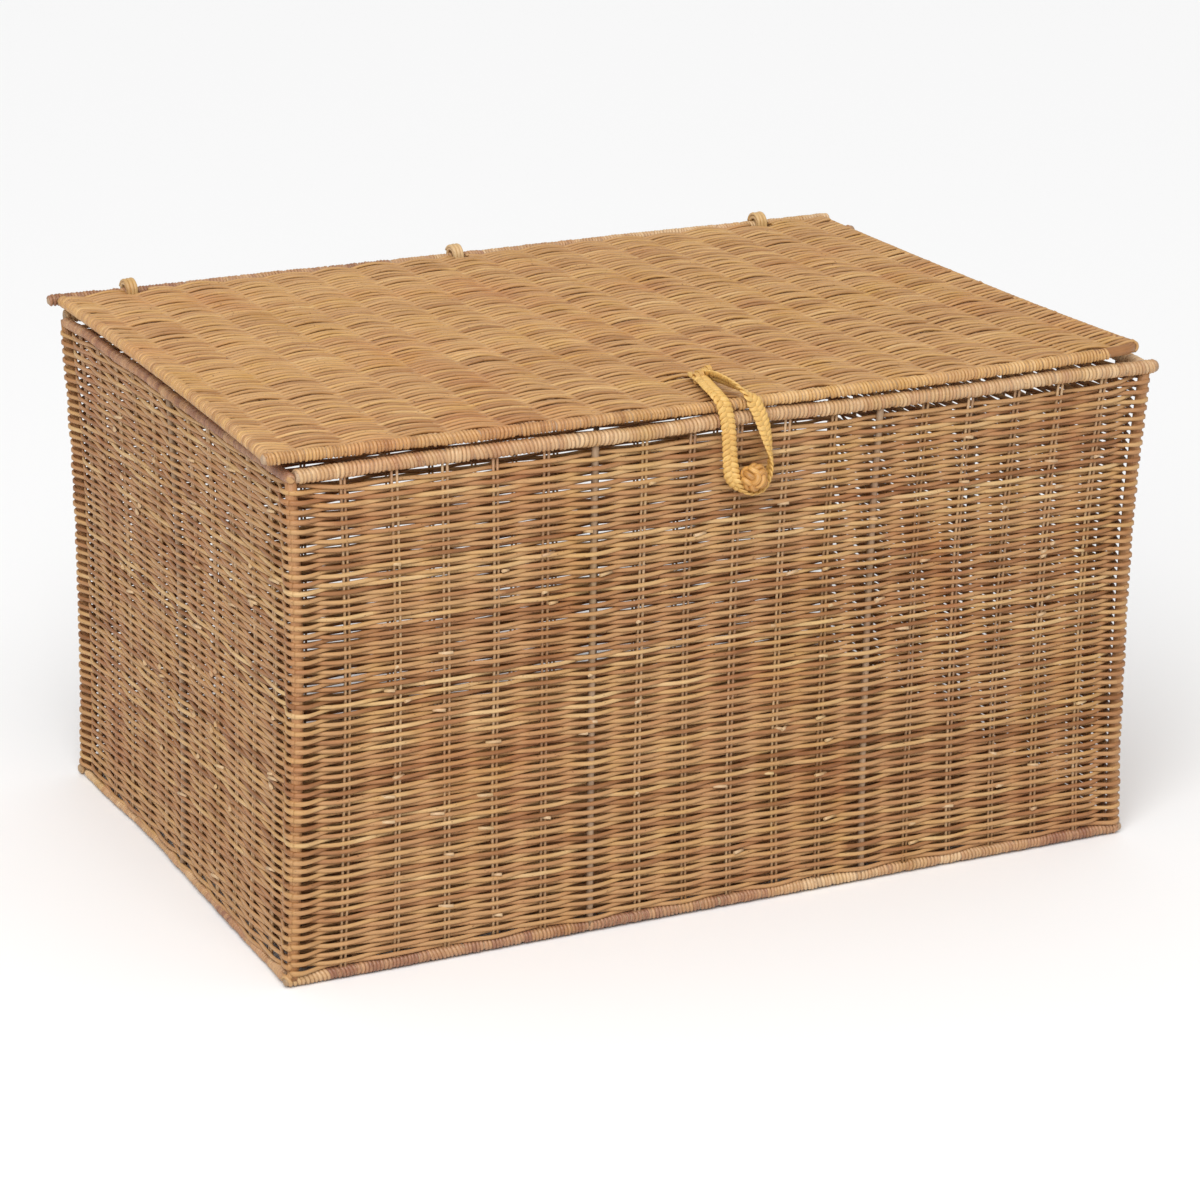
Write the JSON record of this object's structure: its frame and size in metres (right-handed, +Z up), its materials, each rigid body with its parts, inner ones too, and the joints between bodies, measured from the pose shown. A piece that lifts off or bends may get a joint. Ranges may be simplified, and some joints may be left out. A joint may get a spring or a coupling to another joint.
{
  "type": "wicker storage trunk",
  "caption": "Rectangular woven cane storage trunk on a wrapped rod frame, with a hinged woven lid and a braided closure loop over a knotted ball.",
  "frame": {"origin": "on the floor, under the middle of the body's base, on the underside of the long base bar", "axes": "+X along the length to the viewer's right when facing the front, -Y towards the front, +Z up"},
  "size_m": [0.7195, 0.505, 0.4052],
  "materials": {
    "woven_cane": "satin natural cane, woven",
    "woven_lid": "satin natural cane, tightly woven",
    "binding": "satin split cane wrapped round rods",
    "frame_rod": "matt peeled rods",
    "hinge_cane": "satin pale cane",
    "braid": "braided straw cord",
    "knot": "knotted cane cord"
  },
  "bodies": {
    "trunk": {"base_rod_front": "binding", "base_rod_back": "binding", "base_rod_left": "binding", "base_rod_right": "binding", "rim_rod_front": "binding", "rim_rod_back": "binding", "rim_rod_left": "binding", "rim_rod_right": "binding", "base_bar_long": "frame_rod", "base_bar_left": "frame_rod", "base_bar_right": "frame_rod", "corner_post_front_left": "frame_rod", "corner_post_back_left": "frame_rod", "corner_post_front_right": "frame_rod", "corner_post_back_right": "frame_rod", "upright_front_left": "frame_rod", "upright_front_right": "frame_rod", "upright_back_left": "frame_rod", "upright_back_right": "frame_rod", "upright_left": "frame_rod", "upright_right": "frame_rod", "base_weave": "woven_cane", "wall_front": "woven_cane", "wall_back": "woven_cane", "wall_left": "woven_cane", "wall_right": "woven_cane", "hinge_loop_left": "hinge_cane", "hinge_loop_middle": "hinge_cane", "hinge_loop_right": "hinge_cane", "toggle_ball": "knot", "toggle_cord": "knot"},
    "lid": {"lid_rod_front": "binding", "lid_rod_back": "binding", "lid_rod_left": "binding", "lid_rod_right": "binding", "lid_bar_left": "frame_rod", "lid_bar_right": "frame_rod", "lid_weave": "woven_lid", "strap_leg_left": "braid", "strap_leg_right": "braid", "lashing_coil_1": "knot", "lashing_coil_2": "knot", "lashing_coil_3": "knot", "lashing_coil_4": "knot"},
    "loop": {"closure_loop": "braid"}
  },
  "joints": [
    {"name": "lid_hinge", "type": "hinge", "parent": "trunk", "child": "lid", "pos_m": [0, 0.234, 0.3935], "axis": [-1, 0, 0], "range_deg": [0, 200]},
    {"name": "loop_lift", "type": "hinge", "parent": "lid", "child": "loop", "pos_m": [0.0025, -0.241, 0.3915], "axis": [-1, 0, 0], "range_deg": [0, 160], "deforming": ["closure_loop"]}
  ]
}
